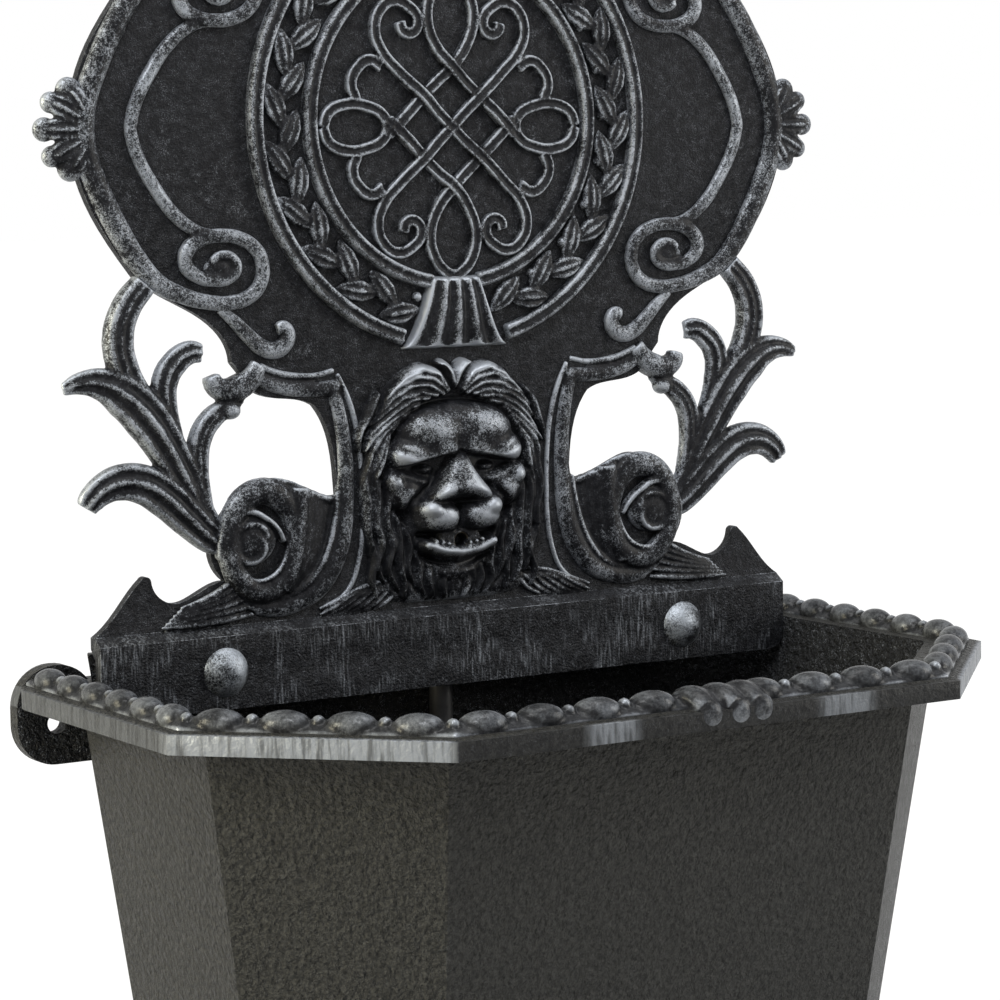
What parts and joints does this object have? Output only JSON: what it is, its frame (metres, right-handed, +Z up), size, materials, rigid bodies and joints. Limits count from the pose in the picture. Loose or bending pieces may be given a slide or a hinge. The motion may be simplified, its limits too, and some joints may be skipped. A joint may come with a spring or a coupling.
{
  "type": "garden wall fountain",
  "caption": "Wall-hung garden fountain: a relief back plate with a lion-mask spout, leaf sprays and scrolls, bolted to a tapered half-octagon trough that holds a small pump.",
  "frame": {"origin": "midway between the two wall screw holes of the trough's ears, on the wall's face", "axes": "+X along the wall to the right as seen from the front, +Y into the wall, +Z up"},
  "size_m": [0.3932, 0.2221, 0.5625],
  "materials": {
    "cast_iron": "black cast metal, silver dry-brushed on raised edges",
    "bolt_steel": "worn silver over black",
    "zinc_steel": "zinc plated",
    "brass": "dull drawn brass",
    "black_rubber": "matte moulded rubber",
    "black_plastic": "satin pipe",
    "pump_plastic": "fine moulded grain",
    "impeller_plastic": "pale moulded plastic",
    "dial_plastic": "satin moulded plastic",
    "shaft_steel": "ground"
  },
  "bodies": {
    "fountain": {"trough": "cast_iron", "rim_bead": "cast_iron", "back_plate": "cast_iron", "right_scroll": "cast_iron", "left_scroll": "cast_iron", "right_strap": "cast_iron", "left_strap": "cast_iron", "right_leaf_spray": "cast_iron", "left_leaf_spray": "cast_iron", "right_berry_cluster": "cast_iron", "left_berry_cluster": "cast_iron", "right_foot_leaf": "cast_iron", "left_foot_leaf": "cast_iron", "medallion_outer_ring": "cast_iron", "medallion_inner_ring": "cast_iron", "medallion_knot": "cast_iron", "medallion_wreath": "cast_iron", "medallion_tie": "cast_iron", "crest": "cast_iron", "lion_mask": "cast_iron", "plate_bolts": "bolt_steel", "bolt_washers": "zinc_steel", "bolt_nuts": "zinc_steel", "spout_tube": "brass", "spout_elbow": "brass", "spout_seal": "black_rubber", "riser_pipe": "black_plastic", "riser_coupling": "black_rubber", "pump_motor": "pump_plastic", "pump_cover": "pump_plastic", "pump_strainer": "pump_plastic", "pump_seal": "black_rubber", "impeller_shaft": "shaft_steel", "rear_shaft_bush": "black_rubber", "front_shaft_bush": "black_rubber", "pump_feet": "black_rubber", "cable_gland": "black_rubber"},
    "impeller": {"pump_impeller": "impeller_plastic"},
    "dial": {"flow_dial": "dial_plastic"},
    "plug": {"drain_plug": "black_rubber"}
  },
  "joints": [
    {"name": "impeller_spin", "type": "hinge", "parent": "fountain", "child": "impeller", "pos_m": [-0.002, -0.042, -0.116], "axis": [1, 0, 0], "continuous": true},
    {"name": "flow_dial_turn", "type": "hinge", "parent": "fountain", "child": "dial", "pos_m": [-0.002, -0.0575, -0.094], "axis": [0, 0, 1], "range_deg": [0, 180]},
    {"name": "drain_plug_lift", "type": "slide", "parent": "fountain", "child": "plug", "axis": [0, 0, 1], "range_m": [0, 0.06]}
  ]
}
